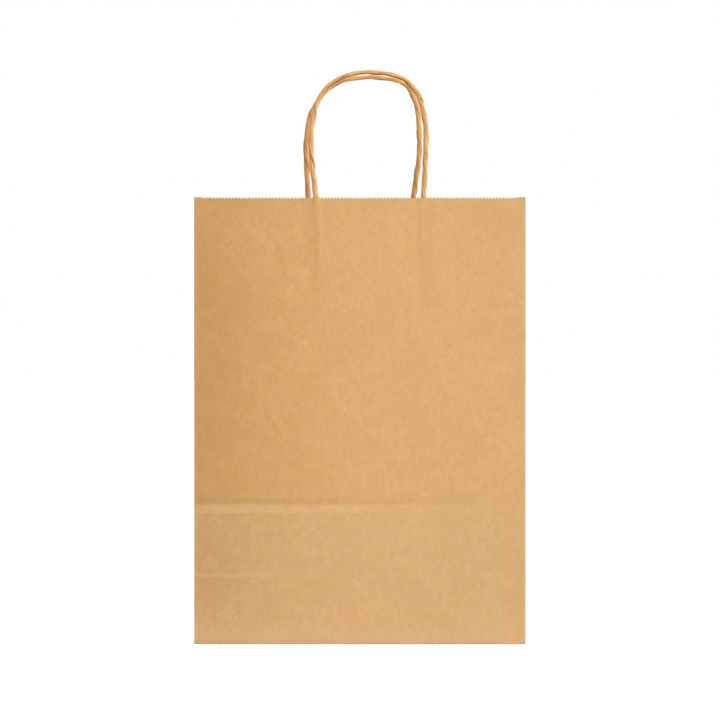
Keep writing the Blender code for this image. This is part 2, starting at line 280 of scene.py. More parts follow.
def cord_material(name, colour):
    """Kraft paper twisted into a cord: u runs round the twisted paper, v along it."""
    material, n = new_material(name, 0.70)
    n.shader.inputs["Diffuse Roughness"].default_value = 1.0
    flat = n.add("ShaderNodeUVMap", uv_map="sheet").outputs["UV"]
    strands = n.noise(n.stretched(flat, (2300.0, 60.0, 1.0)), 1.0, 3.0, 0.6, 0.2)
    blotch = n.noise(n.stretched(flat, (260.0, 70.0, 1.0)), 1.0, 2.0, 0.5)
    base = n.mix(n.band(blotch, 0.34, 0.68), tone(colour, 0.96), tone(colour, 1.05))
    base = n.mix(n.math("MULTIPLY", n.band(strands, 0.50, 0.74), 0.30), base, tone(colour, 0.86))
    base = n.mix(n.math("MULTIPLY", n.band(strands, 0.46, 0.26), 0.25), base, tone(colour, 1.10))

    # Painted shade in thin folds that wander along the twist, and come and go.
    wander = n.noise(n.stretched(flat, (420.0, 11.0, 1.0), (0.6, 0.1, 0.0)), 1.0, 1.0, 0.4)
    off_fold = n.math("ABSOLUTE", n.math("SUBTRACT", wander, 0.5))
    coming = n.noise(n.stretched(flat, (300.0, 45.0, 1.0), (0.2, 0.8, 0.0)), 1.0, 1.0, 0.4)
    fold = n.math("MULTIPLY", n.band(off_fold, 0.020, 0.006), n.band(coming, 0.36, 0.56))
    fold_shade_colour = tone(colour, 0.42)
    base = n.mix(n.math("MULTIPLY", fold, 0.75), base, fold_shade_colour)
    # Painted shade along the twisted paper's laps, and under the front cord's crown.
    base = n.mix(n.math("MULTIPLY", n.attribute("painted_shade_and_seam"), 0.85, True), base, fold_shade_colour)
    n.feed(n.shader.inputs["Base Color"], base)
    n.feed(n.shader.inputs["Roughness"], n.band(strands, 0.3, 0.7, 0.62, 0.84))
    height = n.math("SUBTRACT", n.math("MULTIPLY", strands, 0.6), n.math("MULTIPLY", fold, 0.5))
    n.feed(n.shader.inputs["Normal"], n.bump(height, 0.22, 0.00015))
    return material


KRAFT = kraft_material("kraft_paper_sheet", KRAFT_COLOUR)
STRIP_KRAFT = kraft_material("kraft_paper_strip", tone(KRAFT_COLOUR, STRIP_TONE)[:3], STRIP_MOTTLE)
CORD_KRAFT = cord_material("kraft_paper_cord", CORD_COLOUR)


# ========================================= shape helpers
def smooth_step(value, low, high):
    t = np.clip((value - low) / (high - low), 0.0, 1.0)
    return t * t * (3 - 2 * t)


def ripples(u, v, seed, wavelength, height, waves=14):
    """A smooth random surface: the sum of plane waves with lengths around the one given."""
    draw = np.random.default_rng(seed)
    total = np.zeros_like(u)
    for _ in range(waves):
        heading = draw.uniform(0, math.pi)
        length = wavelength * draw.uniform(0.7, 1.6)
        phase = draw.uniform(0, 2 * math.pi)
        total += np.sin((u * math.cos(heading) + v * math.sin(heading)) * 2 * math.pi / length + phase)
    return total * height / math.sqrt(waves)


def off_segment(u, v, start, end):
    """(signed distance from the line, 0 to 1 place along it) for a short crease."""
    du, dv = end[0] - start[0], end[1] - start[1]
    length = math.hypot(du, dv)
    along = ((u - start[0]) * du + (v - start[1]) * dv) / length ** 2
    side = ((u - start[0]) * dv - (v - start[1]) * du) / length
    return side, along


def short_crease(u, v, start, end, width, height):
    """A pinched wrinkle: a ridge that fades out at both ends."""
    side, along = off_segment(u, v, start, end)
    fade = smooth_step(along, -0.05, 0.25) * smooth_step(along, 1.05, 0.70)
    return height * fade * np.exp(-(side / width) ** 2)


def stations(low, high, step, fine=()):
    """Grid lines from low to high, closer together inside the fine bands (low, high, step)."""
    lines = list(np.linspace(low, high, max(2, round((high - low) / step) + 1)))
    for band_low, band_high, band_step in fine:
        a, b = max(low, band_low), min(high, band_high)
        if b > a:
            lines = [x for x in lines if x < a - band_step / 2 or x > b + band_step / 2 or x in (low, high)]
            lines += list(np.linspace(a, b, max(2, round((b - a) / band_step) + 1)))
    lines = sorted(lines)
    kept = [lines[0]]
    for x in lines[1:]:
        if x - kept[-1] > 1e-6:
            kept.append(x)
    return kept


def paper_sheet(name, us, vs, place, material, outline=None, wear_and_highlight=None, painted_shade_and_seam=None, brown=None,
                painted_dimming=None, teeth=False):
    """A sheet on grid lines us and vs, cut to a convex outline (anticlockwise), put in place by
    place(u, v) -> x, y, z, and given its paper's thickness. Teeth stand on its top row."""
    bm = bmesh.new()
    rows = [[bm.verts.new((u, v, 0.0)) for u in us] for v in vs]
    for low_row, high_row in zip(rows, rows[1:]):
        for i in range(len(us) - 1):
            bm.faces.new((low_row[i], low_row[i + 1], high_row[i + 1], high_row[i]))
    if teeth:
        top = rows[-1]
        chip = np.random.default_rng(len(us))
        for left, right in zip(top, top[1:]):
            height = TOOTH_DEPTH * chip.uniform(0.75, 1.10)
            lean = chip.uniform(0.42, 0.58)
            half, shoulder = TOOTH_SHOULDER
            width = right.co.x - left.co.x
            tooth = [bm.verts.new((left.co.x + width * across, left.co.y + height * up, 0.0))
                     for across, up in ((lean + half, shoulder), (lean, 1.0), (lean - half, shoulder))]
            bm.faces.new([left, right] + tooth)
    for (u0, v0), (u1, v1) in zip(outline or [], (outline or [])[1:] + (outline or [])[:1]):
        everything = bm.verts[:] + bm.edges[:] + bm.faces[:]
        bmesh.ops.bisect_plane(bm, geom=everything, dist=1e-7, plane_co=(u0, v0, 0),
                               plane_no=(v1 - v0, u0 - u1, 0), clear_outer=True)
    mesh = bpy.data.meshes.new(name)
    bm.to_mesh(mesh)
    bm.free()
    return finish_mesh(name, mesh, place, material, wear_and_highlight, painted_shade_and_seam, brown, painted_dimming)


def nothing(u, v):
    return np.zeros_like(u)


def uneven_brown(u, v):
    return PLAIN_BROWN + ripples(u, v, 29, 0.11, 0.10)


def paint_layer(mesh, key, values):
    """A number at every point, 0 to 1, that the materials read."""
    layer = mesh.attributes.new(key, "FLOAT", "POINT")
    layer.data.foreach_set("value", np.clip(values, 0, 1).astype(np.float32).ravel())


def finish_mesh(name, mesh, place, material, wear_and_highlight, painted_shade_and_seam, brown, painted_dimming):
    count = len(mesh.vertices)
    flat = np.zeros(count * 3)
    mesh.vertices.foreach_get("co", flat)
    flat = flat.reshape(-1, 3)
    u, v = flat[:, 0], flat[:, 1]
    uv = mesh.uv_layers.new(name="sheet")
    corner = np.zeros(len(mesh.loops), dtype=np.int32)
    mesh.loops.foreach_get("vertex_index", corner)
    uv.data.foreach_set("uv", flat[corner, :2].ravel())
    paints = {"wear_and_highlight": wear_and_highlight or nothing, "painted_shade_and_seam": painted_shade_and_seam or nothing, "brown": brown or uneven_brown,
              "painted_dimming": painted_dimming or nothing}
    for key, paint in paints.items():
        paint_layer(mesh, key, paint(u, v))
    x, y, z = place(u, v)
    mesh.vertices.foreach_set("co", np.stack([x, y, z], axis=1).ravel())
    mesh.materials.append(material)
    mesh.shade_smooth()
    mesh.update()
    item = bpy.data.objects.new(name, mesh)
    bpy.context.scene.collection.objects.link(item)
    solid = item.modifiers.new("paper", "SOLIDIFY")
    solid.thickness = PAPER
    solid.offset = 0.0
    shading = item.modifiers.new("face_shading", "WEIGHTED_NORMAL")
    shading.weight = 80
    return item


def round_over(past, radius=EDGE_RADIUS):
    """A folded edge: a distance past the end of the flat becomes (how far on, how far in)."""
    angle = np.clip(past / radius, 0.0, math.pi / 2)
    return np.where(past > 0, radius * np.sin(angle), past), radius * (1 - np.cos(angle))


ARC = EDGE_RADIUS * math.pi / 2            # length of paper in a folded edge
ARC_STEPS = 4
FOLD_COLUMNS = [ARC * k / ARC_STEPS for k in range(1, ARC_STEPS + 1)]
FLAT_HALF = HALF_WIDTH - PAPER / 2 - EDGE_RADIUS  # half the width of a panel's flat part


# ========================================= the front
BELLY = 0.0030                             # how far the front's widest place stands out
BELLY_X = -0.020
BELLY_LEFT, BELLY_RIGHT = 2.2, 1.8         # the powers that it falls off with to either side
BELLY_LOW, BELLY_HIGH = 0.16, 0.24         # it is full between these heights
FOOT_BOW = 0.25                            # the share of the belly that the bottom edge has
TOP_BOW = 0.10                             # and the top edge, which the handle swings over


def belly(u, v):
    """How far the front stands out as a whole: most a little left of its middle, least at its top edge."""
    left = 1 - np.clip((BELLY_X - u) / (HALF_WIDTH + BELLY_X), 0, 1) ** BELLY_LEFT
    right = 1 - np.clip((u - BELLY_X) / (HALF_WIDTH - BELLY_X), 0, 1) ** BELLY_RIGHT
    up = FOOT_BOW + (1 - FOOT_BOW) * (1 - np.clip(1 - v / BELLY_LOW, 0, 1) ** 2)
    return BELLY * left * right * up * (TOP_BOW + (1 - TOP_BOW) * smooth_step(v, HEIGHT, BELLY_HIGH))


# The press line's shape: (height off the line, share of its depth), below and above the sharp crease.
PRESS_DEPTH = 0.00055
PRESS_BELOW = ((-0.0092, 0.0), (-0.0064, 0.0), (-0.0058, 0.05), (-0.0007, 0.97), (0.0, 1.0))
PRESS_ABOVE = ((0.0, 1.0), (0.0007, 0.97), (0.0046, 0.0), (0.0056, -0.08), (0.0100, 0.0))
# The handle's glued ends, seen through the front: (x, length, height).
PRESSED_LEGS = ((FRONT_ARCH[0][0], 0.047, 0.00024), (FRONT_ARCH[-1][0], 0.045, 0.00014))
# The dark streaks beside them, painted shade on the shaded edge of each glued end's ridge with a soft darker
# band beside it: (x at the top, slant, amount, 1 or -1 for a soft band to the left or right).
STREAKS = ((-0.0324, 0.045, 1.50, 1), (0.0437, 0.018, 1.05, -1))
# A pinched groove and the ridge beside it: (start, end).
PINCH = ((-0.0612, HEIGHT - 0.031), (-0.0535, HEIGHT - 0.060))
PINCH_RIDGE = ((-0.0590, HEIGHT - 0.030), (-0.0515, HEIGHT - 0.059))
WRINKLE_WIDTH = 0.0011
# How strongly the two press lines and the foot are paled, partly rubbed and partly painted highlight: (places
# across the front), (strengths there).
PRESS_WEAR_AND_HIGHLIGHT = ((-0.12, -0.10, -0.04, 0.0, 0.085, 0.1185), (0.50, 0.55, 0.46, 0.26, 0.22, 0.0))
LOW_WEAR_AND_HIGHLIGHT = ((-0.12, -0.09, -0.05, 0.04, 0.08, 0.115), (0.45, 0.45, 0.16, 0.14, 0.26, 0.10))
FOOT_WEAR_AND_LIGHT = ((-0.12, -0.04, 0.0, 0.09, 0.115), (0.60, 0.60, 0.48, 0.50, 0.36))
# How far painted shade darkens the front's left side, from which x on, and how far it darkens the front above
# its foot.
SHADE_LEFT, SHADE_FROM, SHADE_UP = 0.48, -0.010, 0.09
# Shallow wrinkles: (start, end, height).
FRONT_WRINKLES = [
    ((-0.0600, 0.262), (-0.0490, 0.226), 0.00014), ((0.0520, 0.243), (0.0600, 0.212), 0.00016),
    ((-0.0180, 0.205), (-0.0050, 0.190), 0.00010), ((-0.0330, 0.205), (-0.0380, 0.180), 0.00012),
    ((-0.0600, 0.195), (-0.0480, 0.181), 0.00010), ((0.0700, 0.150), (0.0850, 0.138), -0.00010),
    ((0.0120, 0.160), (0.0270, 0.148), 0.00009), ((-0.0950, 0.215), (-0.0900, 0.165), 0.00016),
    ((-0.0450, 0.120), (-0.0330, 0.110), 0.00010), ((0.0300, 0.120), (0.0420, 0.108), 0.00009),
    ((-0.0140, HEIGHT - 0.0095), (-0.0100, HEIGHT - 0.0125), -0.00020),
]


def off_press_line(u, v):
    """Height above the upper press line, which isn't quite straight."""
    return v - PRESS_LINE_HIGH - ripples(u, v * 0, 21, 0.09, 0.00025)


def off_low_line(u, v):
    """Height above the lower press line."""
    return v - PRESS_LINE_LOW - ripples(u, v * 0, 23, 0.07, 0.00018)


def over_leg(u, x):
    """1 over a handle's glued end at x, 0 beside it."""
    return smooth_step(np.abs(u - x), 0.0042, 0.0018)


def front_relief(u, v):
    """How far the front stands out: its belly, what lies behind it, and its wrinkles."""
    relief = belly(u, v)
    relief -= 0.00022 * smooth_step(v, HEIGHT - 0.007, HEIGHT) * smooth_step(u, -0.04, 0.06)
    edge = smooth_step(np.abs(u), FLAT_HALF, FLAT_HALF - 0.02) * smooth_step(v, 0.0, 0.012)
    relief += edge * ripples(u, v, 4, 0.085, 0.00022)
    relief += edge * ripples(u, v, 9, 0.022, 0.00004)

    # The folded bottom's press lines: a step between two sharp creases, and a faint ridge lower down.
    line = off_press_line(u, v)
    end_fade = smooth_step(u, 0.1185, 0.085)
    bright = end_fade * np.interp(u, (-0.12, -0.07, 0.03, 0.09), (0.50, 0.52, 0.42, 0.36))
    dark = end_fade * np.interp(u, (-0.12, -0.03, 0.0, 0.09), (0.80, 0.76, 0.52, 0.26))
    below_x, below_y = zip(*PRESS_BELOW)
    above_x, above_y = zip(*PRESS_ABOVE)
    under = np.interp(line, below_x, below_y) * bright
    over = np.interp(line, above_x, above_y) * dark + smooth_step(line, 0.045, 0.0) * (bright - dark)
    relief -= PRESS_DEPTH * np.where(line < 0, under, over)
    low_line = off_low_line(u, v)
    low_strength = 0.6 * smooth_step(u, -0.05, -0.09) + 0.3 * smooth_step(u, 0.06, 0.09) + 0.2
    relief += 0.00008 * low_strength * np.exp(-(low_line / 0.0011) ** 2)
    relief -= 0.00012 * smooth_step(u, 0.02, -0.03) * np.exp(-((v - 0.0017) / 0.0005) ** 2)

    # The pressed ends of the handle, glued behind the paper.
    below = HEIGHT - v
    for x, length, height in PRESSED_LEGS:
        relief += height * over_leg(u, x) * smooth_step(below, length, length - 0.006)
        tail = np.exp(-((u - x + 0.003) / 0.0055) ** 2)
        relief -= 0.00030 * tail * smooth_step(below, 0.042, 0.056) * smooth_step(below, 0.094, 0.064)
    relief += short_crease(u, v, *PINCH, WRINKLE_WIDTH, -0.00034)
    relief += short_crease(u, v, *PINCH_RIDGE, 0.0013, 0.00022)
    for start, end, height in FRONT_WRINKLES:
        relief += short_crease(u, v, start, end, WRINKLE_WIDTH, height)
    return relief


def side_fold_wear(u):
    """The folded sides of a panel, where they are worn pale."""
    return smooth_step(np.abs(u), FLAT_HALF - 0.0007, FLAT_HALF + 0.0003)


# Rubbed folded sides, and paleness that is partly painted highlight: the lit band under the upper press line,
# the lower press line and the foot.
def front_wear_and_highlight(u, v):
    line = off_press_line(u, v)
    press = smooth_step(line, -0.0066, -0.0058) * smooth_step(line, 0.0004, -0.0004)
    press = press * np.interp(u, *PRESS_WEAR_AND_HIGHLIGHT)
    low = np.interp(u, *LOW_WEAR_AND_HIGHLIGHT) * np.exp(-(off_low_line(u, v) / 0.0013) ** 2)
    foot = smooth_step(v, 0.018, 0.004) * np.interp(u, *FOOT_WEAR_AND_LIGHT)
    return side_fold_wear(u) * 0.5 + press + low + foot


def front_brown_and_shade(u, v):
    """The sheet is browner towards its left side, partly the colour of painted shade there, and greyer below
    the press line.
    """
    amount = np.interp(u, (-0.12, -0.107, -0.078, -0.040, -0.005, 0.12), (0.66, 0.62, 0.38, 0.28, 0.03, 0.0))
    amount = amount * (0.75 + 0.25 * smooth_step(v, HEIGHT, 0.26))
    above = smooth_step(v, 0.080, 0.112)
    below = 0.30 + 0.10 * smooth_step(v, 0.05, 0.0)
    return PLAIN_BROWN + amount * (0.35 + 0.65 * above) - below * (1 - above) + ripples(u, v, 29, 0.07, 0.02)


def front_painted_dimming(u, v):
    """Painted shade: the sheet is darker towards its left side, standing in for light that falls off there,
    and a little everywhere above its foot.
    """
    leftward = np.clip((SHADE_FROM - u) / (HALF_WIDTH + SHADE_FROM), 0, 1)
    return SHADE_LEFT * leftward * (1 + leftward) / 2 + SHADE_UP * smooth_step(v, 0.012, 0.06)


def front_painted_shade(u, v):
    below = HEIGHT - v
    # Painted shade, darker low on the front's left and right.
    low_side_shade = np.interp(u, (-0.12, -0.05, 0.07, 0.115), (0.30, 0.0, 0.0, 0.22))
    marks = low_side_shade * smooth_step(v, 0.010, 0.030) * smooth_step(v, 0.093, 0.080)
    # Painted shade along the shaded edge of each glued end's ridge, and a soft darker band beside it.
    for x, slant, amount, side in STREAKS:
        across = u - x - slant * below
        fade = smooth_step(below, 0.062, 0.040)
        sharp_side = smooth_step(across, 0.0014, 0.0002) * smooth_step(across, -0.0034, -0.0004)
        marks += amount * sharp_side * fade * (0.85 + 0.15 * np.sin(below * 520))
        marks += 0.42 * np.exp(-((across + side * 0.0050) / 0.0052) ** 2) * smooth_step(below, 0.096, 0.050)

    # Painted shade above the upper press line and below the lower one, along the foot's fold, and in the
    # pinched wrinkle.
    line = v - PRESS_LINE_HIGH
    above = smooth_step(line, -0.0005, 0.0006) * smooth_step(line, 0.0055, 0.0035)
    marks += 0.26 * above * smooth_step(u, 0.10, -0.05)
    low_line = off_low_line(u, v)
    under = smooth_step(low_line, -0.0008, -0.0020) * smooth_step(low_line, -0.028, -0.004)
    marks += 0.22 * under * smooth_step(u, -0.04, -0.09)
    foot_line = v - 0.0019 - ripples(u, v * 0, 25, 0.03, 0.00025)
    foot_strength = np.interp(u, (-0.12, -0.02, 0.03, 0.12), (0.75, 0.65, 0.15, 0.10))
    marks += foot_strength * np.exp(-(foot_line / 0.0006) ** 2)
    aside, along = off_segment(u, v, *PINCH)
    marks += np.exp(-(aside / 0.0010) ** 2) * smooth_step(along, -0.05, 0.2) * smooth_step(along, 1.05, 0.8)
    return SHADE_AND_SEAM_LEVEL * marks + tooth_tip_shade(v)


def tooth_tip_shade(v):
    """Painted shade: the saw-cut teeth are darker towards their tips."""
    return 0.9 * smooth_step(v, TOOTH_ROOT, TOOTH_ROOT + 0.0006)


def top_wear(v):
    return TOP_WEAR * smooth_step(v, HEIGHT - 0.0011, HEIGHT - 0.0002)


def place_panel(y_middle, outward, relief):
    """A panel that stands at y_middle, with its sides and its foot folded over."""
    def place(u, v):
        x_on, x_in = round_over(np.abs(u) - FLAT_HALF)
        z_on, z_in = round_over(FLAT_LOW - v)
        x = np.sign(u) * (FLAT_HALF + x_on)
        z = FLAT_LOW - z_on
        y = y_middle + outward * (relief(u, v) - x_in - z_in)
        return x, y, z
    return place


def panel_columns(step=TOOTH_PITCH):
    count = round(2 * FLAT_HALF / step)
    flat = list(np.linspace(-FLAT_HALF, FLAT_HALF, count + 1))
    return [-FLAT_HALF - a for a in reversed(FOLD_COLUMNS)] + flat + [FLAT_HALF + a for a in FOLD_COLUMNS]


FOOT_ROWS = [FLAT_LOW - a for a in reversed(FOLD_COLUMNS)]


def make_front():
    rows = FOOT_ROWS + stations(
        FLAT_LOW, TOOTH_ROOT, ROW_STEP,
        [(0.0006, 0.0085, 0.0005), (PRESS_LINE_LOW - 0.004, PRESS_LINE_LOW + 0.004, FINE_STEP),
         (PRESS_LINE_HIGH - 0.0092, PRESS_LINE_HIGH + 0.0092, 0.0004), (HEIGHT - 0.07, HEIGHT, 0.0014)])
    sheet = paper_sheet("front_panel_sheet", panel_columns(), rows,
                        place_panel(FRONT_Y, -1, front_relief), KRAFT,
                        wear_and_highlight=front_wear_and_highlight, painted_shade_and_seam=front_painted_shade, brown=front_brown_and_shade, painted_dimming=front_painted_dimming, teeth=True)
    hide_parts("front_panel")
    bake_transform(sheet)


# ========================================= the back
SEAM_X = 0.1045                            # the glued side seam's free edge
SEAM_STEP = 0.0002                         # half the width of the step at it
SEAM_LIFT = 0.00016


def back_relief(u, v):
    edge = smooth_step(np.abs(u), FLAT_HALF, FLAT_HALF - 0.02) * smooth_step(v, 0.0, 0.012)
    relief = edge * ripples(u, v, 33, 0.09, 0.00020)
    relief += edge * ripples(u, v, 37, 0.024, 0.00003)
    seam = smooth_step(u, SEAM_X - SEAM_STEP, SEAM_X + SEAM_STEP)
    relief += SEAM_LIFT * (seam * smooth_step(u, FLAT_HALF, FLAT_HALF - 0.003))
    below = HEIGHT - v
    for x in (BACK_ARCH[0][0], BACK_ARCH[-1][0]):
        relief += 0.00034 * over_leg(u, x) * smooth_step(below, 0.047, 0.041)
    crease = v - MID_CREASE_Z
    relief += 0.00014 * np.exp(-(crease / 0.0007) ** 2)
    return relief


def back_wear(u, v):
    foot = smooth_step(v, 0.0012, 0.0002) * 0.8
    crease = 0.75 * np.exp(-((v - MID_CREASE_Z) / 0.0006) ** 2)
    return side_fold_wear(u) * 0.9 + foot + crease + top_wear(v)


def back_shade_and_seam(u, v):
    # A dark line along the glued seam, and painted shade either side of the middle crease.
    seam = 0.55 * np.exp(-((u - SEAM_X + 0.0003) / 0.0003) ** 2)
    crease = 0.25 * np.exp(-((np.abs(v - MID_CREASE_Z) - 0.0012) / 0.0008) ** 2)
    return SHADE_AND_SEAM_LEVEL * (seam + crease) + tooth_tip_shade(v)


def make_back():
    columns = sorted(panel_columns() + [SEAM_X - SEAM_STEP, SEAM_X + SEAM_STEP])
    place = place_panel(BACK_Y, 1, back_relief)
    foot_rows = FOOT_ROWS + stations(
        FLAT_LOW, MID_CREASE_Z, ROW_STEP,
        [(0.0006, 0.0060, 0.0005), (MID_CREASE_Z - 0.003, MID_CREASE_Z, 0.0005)])
    foot = paper_sheet("back_foot_sheet", columns, foot_rows, place, KRAFT,
                       wear_and_highlight=back_wear, painted_shade_and_seam=back_shade_and_seam)
    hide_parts("back_panel_foot")
    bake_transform(foot)

    rows = stations(MID_CREASE_Z, TOOTH_ROOT, ROW_STEP,
                    [(MID_CREASE_Z, MID_CREASE_Z + 0.0012, 0.00012),
                     (MID_CREASE_Z + 0.0012, MID_CREASE_Z + 0.004, 0.0005), (HEIGHT - 0.06, HEIGHT, 0.0014)])
    panel = paper_sheet("back_panel_sheet", panel_columns(), rows, place, KRAFT,
                        wear_and_highlight=back_wear, painted_shade_and_seam=back_shade_and_seam, teeth=True)
    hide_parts("back_panel")
    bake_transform(panel)


# ========================================= the sides
PUSH_IN = 0.0055                           # how far a side's middle crease leans in at the top
EDGE_Y = HALF_DEPTH - EDGE_RADIUS - PAPER / 2
FLAP_Z = 0.00052                           # height of the side flaps on the bottom


def side_lean(y, z):
    """How far a side's paper leans in: nothing at its edges and foot, most at the middle crease."""
    rise = smooth_step(z, APEX_Z - 0.004, 0.21)
    across = 1 - np.clip(np.abs(y) / EDGE_Y, 0, 1)
    return PUSH_IN * rise * across * (0.8 + 0.2 * across)


def above_slants(y, z):
    """Height above the two slanting creases at a side's foot."""
    return z - (APEX_Z - np.abs(y))


def side_relief(y, z, seed):
    edge = smooth_step(np.abs(y), EDGE_Y, EDGE_Y - 0.012) * smooth_step(z, 0.0, 0.02)
    edge = edge * smooth_step(np.abs(above_slants(y, z)), 0.0, 0.008)
    edge = edge * smooth_step(np.abs(y), 0.0, 0.006)
    return edge * (ripples(y, z, seed, 0.05, 0.00018) + ripples(y, z, seed + 1, 0.018, 0.00004))


def side_wear(y, z):
    middle = np.exp(-(y / 0.0006) ** 2) * smooth_step(z, APEX_Z - 0.004, APEX_Z)
    slants = 0.9 * np.exp(-(above_slants(y, z) / 0.0009) ** 2)
    cross = 0.6 * np.exp(-((z - MID_CREASE_Z) / 0.0006) ** 2) * (y > 0)
    edge = 0.9 * smooth_step(np.abs(y), EDGE_Y - 0.0009, EDGE_Y)
    return middle + slants + cross + edge + top_wear(z)


def side_painted_shade(y, z):
    # Painted shade beside the middle crease and the slanting creases.
    beside = 0.50 * np.exp(-((np.abs(y) - 0.0014) / 0.0010) ** 2) * smooth_step(z, APEX_Z, APEX_Z + 0.01)
    slants = 0.50 * np.exp(-((np.abs(above_slants(y, z)) - 0.0016) / 0.0010) ** 2)
    return SHADE_AND_SEAM_LEVEL * (beside + slants) + tooth_tip_shade(z)


def make_side(side_name, side):
    def facet(name, node, us, vs, outline, seed, teeth=False):
        def place(u, v):
            x = side * (SIDE_X - side_lean(u, v) + side_relief(u, v, seed))
            return x, u.copy(), v.copy()
        sheet = paper_sheet(name, us, vs, place, KRAFT, outline=outline,
                            wear_and_highlight=side_wear, painted_shade_and_seam=side_painted_shade, teeth=teeth)
        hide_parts(node)
        return sheet

    half_rows = stations(0.0, TOOTH_ROOT, 0.003, [(0.045, 0.06, 0.0012)])
    left_columns = stations(-EDGE_Y, 0.0, TOOTH_PITCH)
    front = facet(f"{side_name}_gusset_front_sheet", f"{side_name}_gusset_front", left_columns, half_rows,
                  [(-EDGE_Y, APEX_Z - EDGE_Y), (0.0, APEX_Z), (0.0, HEIGHT * 2), (-EDGE_Y, HEIGHT * 2)],
                  51 + side, True)
    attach(front, f"{side_name}_front_gusset")

    right_columns = stations(0.0, EDGE_Y, TOOTH_PITCH)
    back_rows = stations(MID_CREASE_Z, TOOTH_ROOT, 0.003, [(MID_CREASE_Z, MID_CREASE_Z + 0.006, 0.0012)])
    back = facet(f"{side_name}_gusset_back_sheet", f"{side_name}_gusset_back", right_columns, back_rows,
                 None, 61 + side, True)
    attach(back, f"{side_name}_back_gusset")
    for sheet in (front, back):
        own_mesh(sheet)

    foot_rows = stations(0.0, MID_CREASE_Z, 0.002)
    foot = facet(f"{side_name}_back_triangle_sheet", f"{side_name}_back_triangle", right_columns, foot_rows,
                 [(0.0, APEX_Z), (EDGE_Y, APEX_Z - EDGE_Y), (EDGE_Y, MID_CREASE_Z), (0.0, MID_CREASE_Z)],
                 71 + side)
    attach(foot, f"{side_name}_foot_gusset")

    base_rows = stations(FLAP_Z, APEX_Z, 0.002, [(FLAP_Z, 0.0032, 0.0004)])
    base_columns = stations(-EDGE_Y, EDGE_Y, 0.0016)
    base = facet(f"{side_name}_base_triangle_sheet", f"{side_name}_base_triangle", base_columns, base_rows,
                 [(-EDGE_Y, FLAP_Z), (EDGE_Y, FLAP_Z), (EDGE_Y, APEX_Z - EDGE_Y), (0.0, APEX_Z),
                  (-EDGE_Y, APEX_Z - EDGE_Y)], 81 + side)
    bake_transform(base)


# ========================================= the bottom
def make_bottom():
    half_width = HALF_WIDTH - PAPER / 2 - 0.0002
    half_depth = EDGE_Y
    slack = 0.00006                        # how far the glued flaps are from flat
    step_run = 0.004                       # the run in which the back flap steps up over the front one

    def flat_wear(u, v):
        slant = np.abs(np.abs(u) - (half_width - (half_depth - np.abs(v))))
        fold = 0.7 * smooth_step(np.abs(v), half_depth - 0.001, half_depth)
        slant_edge = 0.35 * np.exp(-(slant / 0.0008) ** 2)
        free_edge = 0.45 * np.exp(-((np.abs(v) - LAP) / 0.0007) ** 2)
        return fold + slant_edge + free_edge

    def flap(name, node, us, vs, outline, height, seed):
        def place(u, v):
            inside = smooth_step(np.abs(v), half_depth, half_depth - 0.01)
            bow = belly(u, v * 0) * smooth_step(v, -half_depth + 0.030, -half_depth)
            return u.copy(), v - bow, height(u, v) + np.abs(inside * ripples(u, v, seed, 0.03, slack))
        sheet = paper_sheet(name, us, vs, place, KRAFT, outline=outline, wear_and_highlight=flat_wear)
        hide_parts(node)
        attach(sheet, "base")

    reach = half_depth + LAP
    columns = stations(-half_width, half_width, 0.004)
    flap("bottom_front_flap_sheet", "bottom_front_flap", columns, stations(-half_depth, LAP, 0.003),
         [(-half_width, -half_depth), (half_width, -half_depth),
          (half_width - reach, LAP), (-half_width + reach, LAP)],
         lambda u, v: PAPER / 2 + v * 0, 91)
    back_rows = stations(-LAP, half_depth, 0.003, [(LAP, LAP + step_run, 0.0004)])
    flap("bottom_back_flap_sheet", "bottom_back_flap", columns, back_rows,
         [(-half_width + reach, -LAP), (half_width - reach, -LAP),
          (half_width, half_depth), (-half_width, half_depth)],
         lambda u, v: PAPER / 2 + 0.00024 * smooth_step(v, LAP + step_run, LAP), 93)
    inner = -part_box("bottom_left_flap")[1].x
    for name, side in (("left", -1), ("right", 1)):
        low, high = sorted((side * inner, side * half_width))
        flap(f"bottom_{name}_flap_sheet", f"bottom_{name}_flap", stations(low, high, 0.003),
             stations(-half_depth, half_depth, 0.003), None, lambda u, v: FLAP_Z + v * 0, 95 + side)


# ========================================= the handles
def smooth_route(points, step):
    """Points about step apart on the Catmull-Rom curve through the given ones."""
    pts = np.array(points)
    padded = np.vstack([2 * pts[0] - pts[1], pts, 2 * pts[-1] - pts[-2]])
    dense = []
    t = np.linspace(0, 1, 24, endpoint=False)[:, None]
    for before, here, there, after in zip(padded, padded[1:], padded[2:], padded[3:]):
        dense.append(0.5 * (2 * here + (there - before) * t
                            + (2 * before - 5 * here + 4 * there - after) * t ** 2
                            + (3 * here - before - 3 * there + after) * t ** 3))
    dense = np.vstack([*dense, pts[-1:]])
    lengths = np.concatenate([[0], np.cumsum(np.linalg.norm(np.diff(dense, axis=0), axis=1))])
    places = np.linspace(0, lengths[-1], round(lengths[-1] / step) + 1)
    return np.stack([np.interp(places, lengths, dense[:, k]) for k in range(dense.shape[1])], axis=1), places


def bulge(end, x, z):
    """How far a handle's panel stands out where the handle is glued to it. Only the front is bellied."""
    return belly(x, np.minimum(z, HEIGHT)) if end < 0 else np.zeros_like(x)


